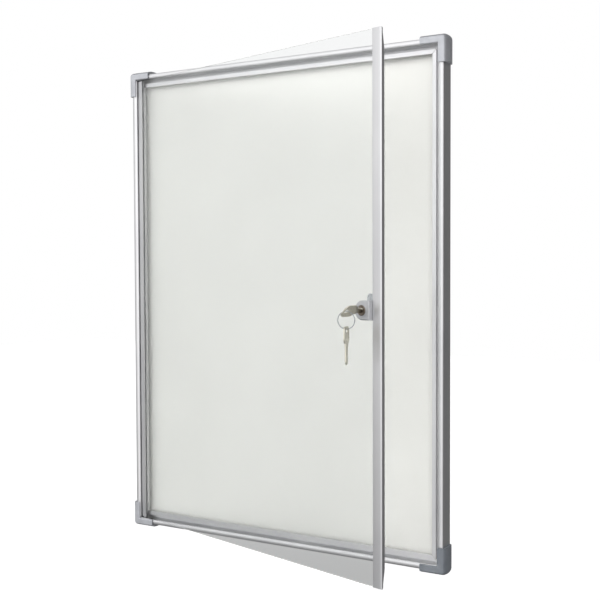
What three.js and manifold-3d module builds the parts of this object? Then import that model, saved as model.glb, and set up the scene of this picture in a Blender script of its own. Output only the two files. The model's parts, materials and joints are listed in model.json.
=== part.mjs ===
// Lockable notice board for a wall: a shallow aluminium case with a white magnetic back,
// a frameless clear door between two aluminium stiles, and a cam lock with its keys.
// Millimetres. +X to the right seen from the front, +Y into the wall, +Z up.
// The origin is the middle of the rear face that lies on the wall.

import * as THREE from 'three';
import { mergeVertices } from 'three/addons/utils/BufferGeometryUtils.js';
import Module from 'manifold-3d';

const wasm = await Module();
wasm.setup();

// Driving dimensions
const boardWidth = 512;
const boardHeight = 690;
const caseDepth = 25;
const openAngleDeg = 15;

// Fits
const fitGap = 0.3;
const runningGap = 0.2;
const bondGap = 0.2;
const overrun = 2;

// Case rail, an extrusion: a tube along the outside, a groove over the web that seats the
// sheet, and a hooked inner ledge
const tubeWidth = 8;
const wall = 1.2;
const tubeEdgeRound = 0.8;
const tubeCrown = 0.7;
const grooveWidth = 5;
const ledgeWidth = 5.5;
const ledgeDrop = 8;
const ledgeWall = 1.4;
const ledgeLipDepth = 4.1;
const rearFlangeReach = 5;
const mitreGap = 0.3;

// Back of the case
const sheetThickness = 0.8;
const coreThickness = 7;

// Corner connectors inside the rails and moulded caps outside them
const connectorLeg = 46;
const connectorLead = 2;
const connectorTipShare = 0.25;
const capLeg = 32;
const capWall = 2;
const capRadius = 6.5;
const capSwell = 4.6;
const capCrestWidth = 2;
const capRearReach = 0.5;
const capInnerStep = 0.3;

// Door
const doorGap = 0.8;
const doorThickness = 6;
const paneThickness = 3;
const paneEndGap = 1;
const ledgeClearance = 0.4;
const hingeStileWidth = 11;
const hingeEndGap = 1.6;
const hingeLineStart = 0.6;
const hingeLineWidth = 2;
const hingeLineDepth = 0.7;
const lockStileWidth = 14;
const lockStileWeb = 3.5;
const lockStileChamferWidth = 3.5;
const lockStileChamferDrop = 1;
const reliefLength = 24;
const reliefDepth = 4;
const reliefWidth = 2.5;

// Hinge pins and bushes
const pinRadius = 1.5;
const pinInStile = 10;
const pinInCase = 5;
const pinEndTaper = 0.4;
const bushWall = 0.8;
const bushFlangeRadius = 3.4;
const bushFlangeThickness = 1;
const bushDepth = 4;

// Cam lock
const lockInset = 26.6;
const housingRadius = 12;
const housingThickness = 7;
const housingSoftening = 1.6;
const barrelInHousing = 3.5;
const plugRadius = 6.4;
const plugProud = 1;
const plugLipRadius = 5.6;
const barrelRadius = 8;
const barrelFlat = 7.2;
const barrelPastNut = 1.2;
const nutAcross = 20;
const nutThickness = 3;
const camLength = 20;
const camWidth = 10;
const camThickness = 1.6;
const tailSide = 6.6;
const screwRadius = 1.5;
const screwLength = 3.2;
const screwHeadRadius = 4.4;
const screwHeadThickness = 1.3;
const screwSlotWidth = 1;
const screwSlotDepth = 0.6;
const keywayWidth = 2.4;
const keywayHeight = 8.6;

// Keys
const keyThickness = 1.6;
const bladeHeight = 7.6;
const bladeLength = 22;
const bladeInside = 15;
const bladeTip = 3;
const notchDepth = 1.6;
const notchPitch = 3;
const notchShares = [0.6, 1, 0.4, 0.8];
const shoulderHeight = 10;
const shoulderLength = 3;
const bowWidth = 18.5;
const bowLength = 21;
const bowCorner = 6;
const bowHoleRadius = 3;
const bowHoleInset = 5.2;
const keyRollDeg = 45;

// Split ring between the keys
const ringRadius = 10.6;
const ringWire = 0.8;
const ringYawDeg = 25;

// Facets
const weldTolerance = 1e-4;
const roundSegments = 32;
const housingSegments = 20;
const smallSegments = 20;
const ringSegments = 36;
const ringTubeSegments = 8;
const filletSegments = 4;
const crownSegments = 6;
const keySegments = 14;
const camSegments = 12;
const capSegments = 10;
const domeSegments = 7;

// Levels behind the front of the case, measured forward from the wall
const ledgeFront = caseDepth - ledgeDrop;
const tubeEdge = caseDepth - tubeCrown;
const sheetFront = coreThickness + bondGap + sheetThickness;
const webBack = sheetFront + fitGap;
const webFront = webBack + wall;
const ledgeLipBack = ledgeFront - ledgeLipDepth;
const doorBack = ledgeFront + ledgeClearance;
const doorMiddle = doorBack + doorThickness / 2;

// Places across the case, measured inward from its outer face
const ledgeStart = tubeWidth + grooveWidth;
const ledgeEnd = ledgeStart + ledgeWidth;
const webEnd = ledgeStart + ledgeWall;
const panelEdge = tubeWidth + fitGap;

// Door frame of reference: the hinge axis
const beadRadius = doorThickness / 2;
const hingeSlotDepth = hingeStileWidth - beadRadius - bushFlangeRadius;
const hingeInset = tubeWidth + doorGap + beadRadius;
const hingeX = -boardWidth / 2 + hingeInset;
const freeEdge = boardWidth - tubeWidth - doorGap - hingeInset;
const lockX = freeEdge - lockInset;
const doorHalfHeight = boardHeight / 2 - tubeWidth - paneEndGap;
const hingeHalfHeight = boardHeight / 2 - tubeWidth - hingeEndGap;

// Materials
const anodised = new THREE.MeshStandardMaterial({ color: 0xd9dadd, roughness: 0.35, metalness: 0.85 });
const capPlastic = new THREE.MeshStandardMaterial({ color: 0x8e9097, roughness: 0.5, metalness: 0 });
const nylon = new THREE.MeshStandardMaterial({ color: 0x2b2c2e, roughness: 0.6, metalness: 0 });
const whiteSteel = new THREE.MeshStandardMaterial({ color: 0xeceee8, roughness: 0.3, metalness: 0 });
const hardboard = new THREE.MeshStandardMaterial({ color: 0x9c8f7d, roughness: 0.8, metalness: 0 });
const clearPane = new THREE.MeshStandardMaterial({
  color: 0xe6ece9,
  roughness: 0.05,
  metalness: 0,
  transparent: true,
  opacity: 0.3,
});
const steel = new THREE.MeshStandardMaterial({ color: 0xa9abad, roughness: 0.3, metalness: 0.9 });
const housingGrey = new THREE.MeshStandardMaterial({ color: 0xc3c4c6, roughness: 0.4, metalness: 0.6 });
const nickel = new THREE.MeshStandardMaterial({ color: 0x9d9a8f, roughness: 0.3, metalness: 0.9 });

// Solids: a geometry becomes a closed solid, and a solid becomes a geometry again
function solidOf(geometry) {
  const bare = geometry.index ? geometry.clone() : geometry;
  bare.deleteAttribute('normal');
  bare.deleteAttribute('uv');
  const merged = mergeVertices(bare, weldTolerance);
  const mesh = new wasm.Mesh({
    numProp: 3,
    vertProperties: new Float32Array(merged.attributes.position.array),
    triVerts: new Uint32Array(merged.index.array),
  });
  mesh.merge();
  return new wasm.Manifold(mesh);
}

function geometryOf(solid) {
  const mesh = solid.getMesh();
  const geometry = new THREE.BufferGeometry();
  geometry.setAttribute('position', new THREE.BufferAttribute(mesh.vertProperties, mesh.numProp));
  geometry.setIndex(new THREE.BufferAttribute(mesh.triVerts, 1));
  geometry.computeVertexNormals();
  return geometry;
}

function cut(geometry, ...tools) {
  let solid = solidOf(geometry);
  for (const tool of tools) {
    solid = solid.subtract(solidOf(tool));
  }
  return geometryOf(solid);
}

function join(geometry, ...others) {
  let solid = solidOf(geometry);
  for (const other of others) {
    solid = solid.add(solidOf(other));
  }
  return geometryOf(solid);
}

function keepInside(geometry, region) {
  return geometryOf(solidOf(geometry).intersect(solidOf(region)));
}

function addMesh(parent, name, geometry, material) {
  const mesh = new THREE.Mesh(geometry, material);
  mesh.name = name;
  parent.add(mesh);
  return mesh;
}

// Shapes
function polygon(points) {
  return new THREE.Shape(points.map(([x, y]) => new THREE.Vector2(x, y)));
}

function rectanglePath(x0, y0, x1, y1) {
  const path = new THREE.Path();
  path.moveTo(x0, y0);
  path.lineTo(x1, y0);
  path.lineTo(x1, y1);
  path.lineTo(x0, y1);
  path.closePath();
  return path;
}

function box(x0, x1, y0, y1, z0, z1) {
  const geometry = new THREE.BoxGeometry(x1 - x0, y1 - y0, z1 - z0);
  geometry.translate((x0 + x1) / 2, (y0 + y1) / 2, (z0 + z1) / 2);
  return geometry;
}

// A flat outline in x and z, made thick from backY towards the front
function slab(shape, thickness, backY, softening = 0, curveSegments = roundSegments) {
  return domedSlab(shape, thickness, backY, softening, softening, curveSegments, filletSegments);
}

// The same, with its edges drawn in by the swell over a run of its thickness
function domedSlab(shape, thickness, backY, swell, run, curveSegments, runSegments) {
  const geometry = new THREE.ExtrudeGeometry(shape, {
    depth: thickness - 2 * run,
    curveSegments,
    bevelEnabled: swell > 0,
    bevelThickness: run,
    bevelSize: swell,
    bevelOffset: -swell,
    bevelSegments: runSegments,
  });
  geometry.rotateX(Math.PI / 2);
  geometry.translate(0, backY - run, 0);
  return geometry;
}

// A cylinder along y between two levels
function rod(radius, y0, y1, segments = roundSegments) {
  const geometry = new THREE.CylinderGeometry(radius, radius, y1 - y0, segments);
  geometry.translate(0, (y0 + y1) / 2, 0);
  return geometry;
}

// The front of the tube is slightly domed: its middle stands above its edges by the crown
function crownPoints() {
  const halfWidth = tubeWidth / 2 - tubeEdgeRound;
  const points = [];
  for (let i = 0; i <= crownSegments; i += 1) {
    const acrossShare = 1 - 2 * i / crownSegments;
    points.push([
      tubeWidth / 2 + halfWidth * acrossShare,
      -caseDepth + tubeCrown * acrossShare * acrossShare,
    ]);
  }
  return points;
}

// Case rail section in x (inward from the outer face) and y (minus the level above the wall)
function railSection() {
  const outline = polygon([
    [0, 0],
    [tubeWidth + rearFlangeReach, 0],
    [tubeWidth + rearFlangeReach, -wall],
    [tubeWidth, -wall],
    [tubeWidth, -webBack],
    [webEnd, -webBack],
    [webEnd, -ledgeFront + ledgeWall],
    [ledgeEnd - ledgeWall, -ledgeFront + ledgeWall],
    [ledgeEnd - ledgeWall, -ledgeLipBack],
    [ledgeEnd, -ledgeLipBack],
    [ledgeEnd, -ledgeFront],
    [ledgeStart, -ledgeFront],
    [ledgeStart, -webFront],
    [tubeWidth, -webFront],
    [tubeWidth, -tubeEdge + tubeEdgeRound],
    ...crownPoints(),
    [0, -tubeEdge + tubeEdgeRound],
  ]);
  outline.holes.push(rectanglePath(wall, -tubeEdge + wall, tubeWidth - wall, -wall));
  return outline;
}

// A rail along z with its outer face at x = 0, mitred at both ends
function railGeometry(length) {
  const bar = new THREE.ExtrudeGeometry(railSection(), { depth: length, bevelEnabled: false });
  bar.translate(0, 0, -length / 2);
  const end = length / 2 - mitreGap / 2;
  const reach = ledgeEnd + overrun;
  const mitred = slab(
    polygon([
      [-overrun, -end - overrun],
      [reach, -end + reach],
      [reach, end - reach],
      [-overrun, end + overrun],
    ]),
    caseDepth + 2 * overrun,
    overrun
  );
  return keepInside(bar, mitred);
}

// The lock side of the case is the same section, and so are the top and the bottom
function addRails(parent) {
  const sides = [
    { name: 'rail_left', length: boardHeight, turn: 0, x: -boardWidth / 2, z: 0 },
    { name: 'rail_top', length: boardWidth, turn: Math.PI / 2, x: 0, z: boardHeight / 2 },
    { name: 'rail_right', length: boardHeight, turn: Math.PI, x: boardWidth / 2, z: 0 },
    { name: 'rail_bottom', length: boardWidth, turn: -Math.PI / 2, x: 0, z: -boardHeight / 2 },
  ];
  for (const side of sides) {
    let geometry = railGeometry(side.length);
    if (side.name === 'rail_top' || side.name === 'rail_bottom') {
      geometry = drillForBush(geometry, side.name === 'rail_top' ? 1 : -1);
    }
    const rail = addMesh(parent, side.name, geometry, anodised);
    rail.position.set(side.x, 0, side.z);
    rail.rotation.y = side.turn;
  }
}

// The hinge bush passes through the inner wall of the tube, near the hinge end
function drillForBush(geometry, upward) {
  const drill = new THREE.CylinderGeometry(bushHole, bushHole, wall + 2 * overrun, smallSegments);
  drill.rotateZ(Math.PI / 2);
  drill.translate(tubeWidth - wall / 2, -doorMiddle, upward * hingeX);
  return cut(geometry, drill);
}

// Four corners share one shape, drawn at the upper left and mirrored to the others
function cornerShape(outer, legLength, legWidth, radius) {
  const shape = new THREE.Shape();
  shape.moveTo(outer, -outer - radius);
  shape.lineTo(outer, -legLength);
  shape.lineTo(outer + legWidth, -legLength);
  shape.lineTo(outer + legWidth, -outer - legWidth);
  shape.lineTo(legLength, -outer - legWidth);
  shape.lineTo(legLength, -outer);
  shape.lineTo(outer + radius, -outer);
  if (radius > 0) {
    shape.absarc(outer + radius, -outer - radius, radius, Math.PI / 2, Math.PI, false);
  }
  return shape;
}

// Connector: an angle whose legs slide into the tubes, with tapered lead-in ends
function connectorGeometry() {
  const inset = wall + fitGap;
  const width = tubeWidth - 2 * inset;
  const tip = width * connectorTipShare;
  const shape = polygon([
    [inset, -inset],
    [inset, -connectorLeg + connectorLead],
    [inset + tip, -connectorLeg],
    [inset + width - tip, -connectorLeg],
    [inset + width, -connectorLeg + connectorLead],
    [inset + width, -inset - width],
    [connectorLeg - connectorLead, -inset - width],
    [connectorLeg, -inset - width + tip],
    [connectorLeg, -inset - tip],
    [connectorLeg - connectorLead, -inset],
  ]);
  const angle = slab(shape, tubeEdge - 2 * inset, -inset);
  const boreDepth = pinInCase + fitGap;
  const bore = new THREE.CylinderGeometry(bushHole, bushHole, boreDepth + overrun, smallSegments);
  bore.rotateX(Math.PI / 2);
  bore.translate(hingeInset, -doorMiddle, (boreDepth - overrun) / 2 - tubeWidth);
  return cut(angle, bore);
}

// Cap: a moulded angle over the front and the outside of the corner. Its outside is domed
// from front to back, its inner edges are rounded by its wall, and its legs end square.
function capGeometry() {
  const outer = -fitGap - capSwell;
  const width = tubeWidth - capInnerStep - outer;
  const front = caseDepth + fitGap + capWall;
  const leg = capLeg + capSwell;
  const depth = front + capRearReach;
  const outside = domedSlab(
    cornerShape(outer, leg, width + capSwell, capRadius),
    depth,
    capRearReach,
    capSwell,
    (depth - capCrestWidth) / 2,
    capSegments,
    domeSegments
  );
  const inside = slab(
    cornerShape(outer - capWall, leg, width + capWall, 0),
    front + capWall,
    capWall,
    capWall
  );
  const region = box(outer - overrun, capLeg, -front - overrun, 0, -capLeg, overrun - outer);
  const seat = slab(
    cornerShape(-fitGap, capLeg + overrun, tubeWidth + overrun, 0),
    caseDepth + fitGap + overrun,
    overrun
  );
  return cut(keepInside(keepInside(outside, inside), region), seat);
}

function mirrored(geometry, flipX, flipZ) {
  const copy = geometry.clone();
  copy.scale(flipX ? -1 : 1, 1, flipZ ? -1 : 1);
  if (flipX !== flipZ) {
    const index = copy.index.array;
    for (let i = 0; i < index.length; i += 3) {
      const swap = index[i];
      index[i] = index[i + 1];
      index[i + 1] = swap;
    }
  }
  copy.computeVertexNormals();
  return copy;
}

function addCorners(parent) {
  const connector = connectorGeometry();
  const cap = capGeometry();
  const corners = [
    { name: 'top_left', flipX: false, flipZ: false },
    { name: 'top_right', flipX: true, flipZ: false },
    { name: 'bottom_left', flipX: false, flipZ: true },
    { name: 'bottom_right', flipX: true, flipZ: true },
  ];
  for (const corner of corners) {
    const x = (corner.flipX ? 1 : -1) * boardWidth / 2;
    const z = (corner.flipZ ? -1 : 1) * boardHeight / 2;
    const inner = mirrored(connector, corner.flipX, corner.flipZ);
    addMesh(parent, 'corner_connector_' + corner.name, inner, nylon).position.set(x, 0, z);
    const outer = mirrored(cap, corner.flipX, corner.flipZ);
    addMesh(parent, 'corner_cap_' + corner.name, outer, capPlastic).position.set(x, 0, z);
  }
}

// The white steel sheet lies on a rebated core that fills the case between the rear flanges
function addBack(parent) {
  const halfWidth = boardWidth / 2 - panelEdge;
  const halfHeight = boardHeight / 2 - panelEdge;
  const sheetBack = -sheetFront + sheetThickness;
  const sheet = box(-halfWidth, halfWidth, -sheetFront, sheetBack, -halfHeight, halfHeight);
  addMesh(parent, 'display_sheet', sheet, whiteSteel);
  const rimBack = -wall - fitGap;
  const rim = box(-halfWidth, halfWidth, -coreThickness, rimBack, -halfHeight, halfHeight);
  const middleWidth = halfWidth - rearFlangeReach;
  const middleHeight = halfHeight - rearFlangeReach;
  const middle = box(-middleWidth, middleWidth, rimBack - wall, 0, -middleHeight, middleHeight);
  addMesh(parent, 'core_board', join(rim, middle), hardboard);
}

// Bush: a flanged sleeve pressed through the rail into the connector
const bushBore = pinRadius + runningGap;
const bushOuter = bushBore + bushWall;
const bushHole = bushOuter + runningGap;

function bushGeometry() {
  const profile = [
    new THREE.Vector2(bushBore, -bushFlangeThickness),
    new THREE.Vector2(bushFlangeRadius, -bushFlangeThickness),
    new THREE.Vector2(bushFlangeRadius, 0),
    new THREE.Vector2(bushOuter, 0),
    new THREE.Vector2(bushOuter, bushDepth),
    new THREE.Vector2(bushBore, bushDepth),
    new THREE.Vector2(bushBore, -bushFlangeThickness),
  ];
  const geometry = new THREE.LatheGeometry(profile, smallSegments);
  geometry.rotateX(Math.PI / 2);
  return geometry;
}

function addBushes(parent) {
  const seat = boardHeight / 2 - tubeWidth - runningGap;
  for (const [name, upward] of [['hinge_bush_top', 1], ['hinge_bush_bottom', -1]]) {
    const bush = addMesh(parent, name, bushGeometry(), nylon);
    bush.position.set(hingeX, -doorMiddle, upward * seat);
    bush.rotation.x = upward > 0 ? 0 : Math.PI;
  }
}

// Hinge stile: a round bead about the hinge axis, a shallow line beside it on the front,
// and a channel for the pane
function hingeStileGeometry() {
  const half = doorThickness / 2;
  const slot = paneThickness / 2 + fitGap;
  const end = hingeStileWidth - beadRadius;
  const shape = new THREE.Shape();
  const lineEnd = hingeLineStart + hingeLineWidth;
  shape.moveTo(0, -half);
  shape.lineTo(hingeLineStart, -half);
  shape.lineTo(hingeLineStart, -half + hingeLineDepth);
  shape.lineTo(lineEnd, -half + hingeLineDepth);
  shape.lineTo(lineEnd, -half);
  shape.lineTo(end, -half);
  shape.lineTo(end, -slot);
  shape.lineTo(end - hingeSlotDepth, -slot);
  shape.lineTo(end - hingeSlotDepth, slot);
  shape.lineTo(end, slot);
  shape.lineTo(end, half);
  shape.lineTo(0, half);
  shape.absarc(0, 0, beadRadius, Math.PI / 2, Math.PI * 3 / 2, false);
  const bore = new THREE.Path();
  bore.absarc(0, 0, pinRadius + runningGap, 0, Math.PI * 2, false);
  shape.holes.push(bore);
  const geometry = new THREE.ExtrudeGeometry(shape, {
    depth: 2 * hingeHalfHeight,
    bevelEnabled: false,
    curveSegments: smallSegments,
  });
  geometry.translate(0, 0, -hingeHalfHeight);
  return geometry;
}

function pinGeometry() {
  const length = pinInStile + hingeEndGap + pinInCase;
  const profile = [
    new THREE.Vector2(0, 0),
    new THREE.Vector2(pinRadius - pinEndTaper, 0),
    new THREE.Vector2(pinRadius, pinEndTaper),
    new THREE.Vector2(pinRadius, length - pinEndTaper),
    new THREE.Vector2(pinRadius - pinEndTaper, length),
    new THREE.Vector2(0, length),
  ];
  const geometry = new THREE.LatheGeometry(profile, smallSegments);
  geometry.rotateX(Math.PI / 2);
  return geometry;
}

// Lock stile: a channel for the pane, a broad bevel along its free edge, and a relief
// behind that edge at both ends
function lockStileGeometry() {
  const half = doorThickness / 2;
  const slot = paneThickness / 2 + fitGap;
  const inner = freeEdge - lockStileWidth;
  const web = freeEdge - lockStileWeb;
  const shape = polygon([
    [freeEdge, half],
    [freeEdge, -half + lockStileChamferDrop],
    [freeEdge - lockStileChamferWidth, -half],
    [inner, -half],
    [inner, -slot],
    [web, -slot],
    [web, slot],
    [inner, slot],
    [inner, half],
  ]);
  const geometry = new THREE.ExtrudeGeometry(shape, { depth: 2 * doorHalfHeight, bevelEnabled: false });
  geometry.translate(0, 0, -doorHalfHeight);
  return cut(geometry, reliefWedge(1), reliefWedge(-1));
}

// A long thin wedge drawn in y and z, made thick along x
function reliefWedge(upward) {
  const half = doorThickness / 2;
  const start = upward * (doorHalfHeight - reliefLength - overrun);
  const end = upward * (doorHalfHeight + overrun);
  const rise = (overrun * reliefDepth) / reliefLength;
  const shape = polygon([
    [half + rise, start],
    [half + overrun, start],
    [half + overrun, end],
    [half - reliefDepth - rise, end],
  ]);
  const wedge = new THREE.ExtrudeGeometry(shape, { depth: reliefWidth + overrun, bevelEnabled: false });
  wedge.rotateX(Math.PI / 2);
  wedge.rotateZ(Math.PI / 2);
  wedge.translate(freeEdge - reliefWidth, 0, 0);
  return wedge;
}

// Pane: a clear sheet held in both stiles, with a round hole for the lock barrel
function paneGeometry() {
  const half = paneThickness / 2;
  const left = hingeStileWidth - beadRadius - hingeSlotDepth + fitGap;
  const right = freeEdge - lockStileWeb - fitGap;
  const sheet = polygon([
    [left, -doorHalfHeight],
    [right, -doorHalfHeight],
    [right, doorHalfHeight],
    [left, doorHalfHeight],
  ]);
  const hole = new THREE.Path();
  hole.absarc(lockX, 0, barrelRadius + fitGap, 0, Math.PI * 2, false);
  sheet.holes.push(hole);
  return slab(sheet, paneThickness, half);
}

// Levels of the lock, on the door's own y axis, where the front is negative
const paneFrontY = -paneThickness / 2;
const paneBackY = paneThickness / 2;
const housingBackY = paneFrontY - fitGap;
const housingFrontY = housingBackY - housingThickness;
const barrelFrontY = housingBackY - barrelInHousing;
const plugFrontY = housingFrontY - plugProud;
const nutFrontY = paneBackY + fitGap;
const nutBackY = nutFrontY + nutThickness;
const barrelBackY = nutBackY + barrelPastNut;
const camBackY = doorMiddle - webFront - (ledgeLipBack - webFront - camThickness) / 2;
const camFrontY = camBackY - camThickness;
const plugBackY = camFrontY - fitGap;

// Housing: a rounded block from the lock stile to past the lock
function housingGeometry() {
  const right = lockInset - lockStileWidth - fitGap;
  const shape = new THREE.Shape();
  shape.moveTo(0, -housingRadius);
  shape.lineTo(right, -housingRadius);
  shape.lineTo(right, housingRadius);
  shape.lineTo(0, housingRadius);
  shape.absarc(0, 0, housingRadius, Math.PI / 2, Math.PI * 3 / 2, false);
  const block = slab(shape, housingThickness, housingBackY, housingSoftening, housingSegments);
  const bore = rod(plugRadius + runningGap, plugFrontY - overrun, 0);
  const barrelSeat = rod(barrelRadius + fitGap, barrelFrontY - fitGap, 0);
  return cut(block, bore, barrelSeat);
}

// Barrel: a sleeve with two flats through the pane
function barrelGeometry() {
  const sleeve = rod(barrelRadius, barrelFrontY, barrelBackY);
  const bore = rod(plugRadius + runningGap, barrelFrontY - overrun, barrelBackY + overrun);
  const flats = [1, -1].map((side) =>
    box(
      -barrelRadius - overrun,
      barrelRadius + overrun,
      nutFrontY,
      barrelBackY + overrun,
      side > 0 ? barrelFlat : -barrelRadius - overrun,
      side > 0 ? barrelRadius + overrun : -barrelFlat
    )
  );
  return cut(sleeve, bore, ...flats);
}

// Nut: clamps the housing and the pane together from behind
function nutGeometry() {
  const radius = nutAcross / Math.sqrt(3);
  const shape = new THREE.Shape();
  for (let i = 0; i < 6; i += 1) {
    const angle = (i * Math.PI) / 3;
    const step = i === 0 ? 'moveTo' : 'lineTo';
    shape[step](radius * Math.cos(angle), radius * Math.sin(angle));
  }
  const hole = new THREE.Path();
  hole.absarc(0, 0, barrelRadius + runningGap, 0, Math.PI * 2, false);
  shape.holes.push(hole);
  return slab(shape, nutThickness, nutBackY);
}

// Plug: the part of the lock that turns, with the keyway in front and a square tail behind
function plugGeometry() {
  const profile = [
    new THREE.Vector2(0, plugFrontY),
    new THREE.Vector2(plugLipRadius, plugFrontY),
    new THREE.Vector2(plugRadius, plugFrontY + plugRadius - plugLipRadius),
    new THREE.Vector2(plugRadius, plugBackY),
    new THREE.Vector2(0, plugBackY),
  ];
  const body = new THREE.LatheGeometry(profile, roundSegments);
  const half = tailSide / 2;
  const tail = box(-half, half, plugBackY - overrun, camBackY, -half, half);
  tail.rotateY(-THREE.MathUtils.degToRad(keyRollDeg));
  const keyway = box(
    -keywayWidth / 2,
    keywayWidth / 2,
    plugFrontY - overrun,
    plugFrontY + bladeInside + fitGap,
    -keywayHeight / 2,
    keywayHeight / 2
  );
  const threadHole = rod(screwRadius + runningGap, camBackY - screwLength - fitGap, camBackY + overrun);
  return cut(join(body, tail), keyway, threadHole);
}

// Cam: a flat steel tongue on the plug's square tail
function camGeometry() {
  const half = camWidth / 2;
  const shape = new THREE.Shape();
  shape.moveTo(-half, 0);
  shape.absarc(0, 0, half, Math.PI, Math.PI * 2, false);
  shape.lineTo(half, camLength - half);
  shape.absarc(0, camLength - half, half, 0, Math.PI, false);
  const hole = tailSide / 2 + runningGap;
  shape.holes.push(rectanglePath(-hole, -hole, hole, hole));
  return slab(shape, camThickness, camBackY, 0, camSegments);
}

// Cam screw: a slotted flat head that holds the cam on the tail
function camScrewGeometry() {
  const headFront = camBackY + fitGap;
  const headBack = headFront + screwHeadThickness;
  const headMiddle = (headFront + headBack) / 2;
  const head = rod(screwHeadRadius, headFront, headBack, smallSegments);
  const shank = rod(screwRadius, camBackY - screwLength, headMiddle, smallSegments);
  const slotHalf = screwSlotWidth / 2;
  const driver = box(
    -screwHeadRadius - overrun,
    screwHeadRadius + overrun,
    headBack - screwSlotDepth,
    headBack + overrun,
    -slotHalf,
    slotHalf
  );
  return cut(join(head, shank), driver);
}

// Key in its own frame: the blade along +x from the shoulder, the bow along -x, flat in x and z
function keyShape() {
  const blade = bladeHeight / 2;
  const shoulder = shoulderHeight / 2;
  const bow = bowWidth / 2;
  const shape = new THREE.Shape();
  shape.moveTo(0, shoulder);
  shape.lineTo(0, blade);
  for (let i = 0; i < notchShares.length; i += 1) {
    const start = (i + 1) * notchPitch;
    shape.lineTo(start, blade);
    shape.lineTo(start + notchPitch / 2, blade - notchDepth * notchShares[i]);
  }
  shape.lineTo(bladeLength - bladeTip, blade);
  shape.lineTo(bladeLength, 0);
  shape.lineTo(bladeLength - bladeTip, -blade);
  shape.lineTo(0, -blade);
  shape.lineTo(0, -shoulder);
  shape.lineTo(-shoulderLength, -shoulder);
  shape.quadraticCurveTo(-shoulderLength - bowCorner / 2, -bow, -shoulderLength - bowCorner, -bow);
  const far = -shoulderLength - bowLength;
  shape.lineTo(far + bowCorner, -bow);
  shape.absarc(far + bowCorner, -bow + bowCorner, bowCorner, -Math.PI / 2, -Math.PI, true);
  shape.lineTo(far, bow - bowCorner);
  shape.absarc(far + bowCorner, bow - bowCorner, bowCorner, Math.PI, Math.PI / 2, true);
  shape.lineTo(-shoulderLength - bowCorner, bow);
  shape.quadraticCurveTo(-shoulderLength - bowCorner / 2, bow, -shoulderLength, shoulder);
  const hole = new THREE.Path();
  hole.absarc(far + bowHoleInset, 0, bowHoleRadius, 0, Math.PI * 2, false);
  shape.holes.push(hole);
  return shape;
}

function keyGeometry() {
  return slab(keyShape(), keyThickness, keyThickness / 2, 0, keySegments);
}

const bowHoleX = -shoulderLength - bowLength + bowHoleInset;
const keyShoulderY = plugFrontY + bladeInside - bladeLength;

// The lock, on the door: its own parts stay, the plug turns, and the key slides in it
function addLock(door) {
  const place = new THREE.Group();
  place.position.set(lockX, 0, 0);
  door.add(place);
  addMesh(place, 'lock_housing', housingGeometry(), housingGrey);
  addMesh(place, 'lock_barrel', barrelGeometry(), steel);
  addMesh(place, 'lock_nut', nutGeometry(), steel);

  const turning = new THREE.Group();
  turning.rotation.y = THREE.MathUtils.degToRad(keyRollDeg);
  place.add(turning);
  addMesh(turning, 'lock_plug', plugGeometry(), nickel);
  addMesh(turning, 'cam_screw', camScrewGeometry(), steel);
  const cam = addMesh(turning, 'lock_cam', camGeometry(), steel);
  cam.rotation.y = -THREE.MathUtils.degToRad(keyRollDeg);

  const key = addMesh(turning, 'door_key', keyGeometry(), nickel);
  key.rotation.z = Math.PI / 2;
  key.position.set(0, keyShoulderY, 0);
  addHangingKey(place);
}

// The ring hangs in the hole of the bow, and the second key hangs in the ring
function addHangingKey(place) {
  const ringGroup = new THREE.Group();
  ringGroup.position.set(0, keyShoulderY + bowHoleX, -ringRadius);
  ringGroup.rotation.z = THREE.MathUtils.degToRad(ringYawDeg);
  place.add(ringGroup);
  const ring = new THREE.TorusGeometry(ringRadius, ringWire, ringTubeSegments, ringSegments);
  ring.rotateX(Math.PI / 2);
  addMesh(ringGroup, 'key_ring', ring, steel);

  const spare = addMesh(ringGroup, 'spare_key', keyGeometry(), nickel);
  spare.rotation.set(0, Math.PI / 2, 0);
  spare.rotation.order = 'ZYX';
  spare.rotation.z = Math.PI / 2;
  spare.position.set(0, 0, -ringRadius + bowHoleX - (bowHoleRadius - ringWire - fitGap));
}

function addDoor(parent) {
  const door = new THREE.Group();
  door.position.set(hingeX, -doorMiddle, 0);
  door.rotation.z = -THREE.MathUtils.degToRad(openAngleDeg);
  parent.add(door);
  addMesh(door, 'hinge_stile', hingeStileGeometry(), anodised);
  addMesh(door, 'lock_stile', lockStileGeometry(), anodised);
  addMesh(door, 'door_pane', paneGeometry(), clearPane);
  const pinStart = hingeHalfHeight - pinInStile;
  for (const [name, upward] of [['hinge_pin_top', 1], ['hinge_pin_bottom', -1]]) {
    const pin = addMesh(door, name, pinGeometry(), steel);
    pin.position.z = upward * pinStart;
    pin.rotation.x = upward > 0 ? 0 : Math.PI;
  }
  addLock(door);
}

const noticeBoard = new THREE.Group();
addRails(noticeBoard);
addCorners(noticeBoard);
addBack(noticeBoard);
addBushes(noticeBoard);
addDoor(noticeBoard);

export default noticeBoard;
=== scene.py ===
# Lockable notice board: the finish of a shallow aluminium wall case with a white steel back,
# its clear door, its cam lock and the keys. Metres, in the part's own frame: +X to the right,
# +Y into the wall, +Z up. Sizes are written in millimetres and turned to metres by MM.

import json
import math
import bpy
from mathutils import Matrix, Vector


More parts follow.
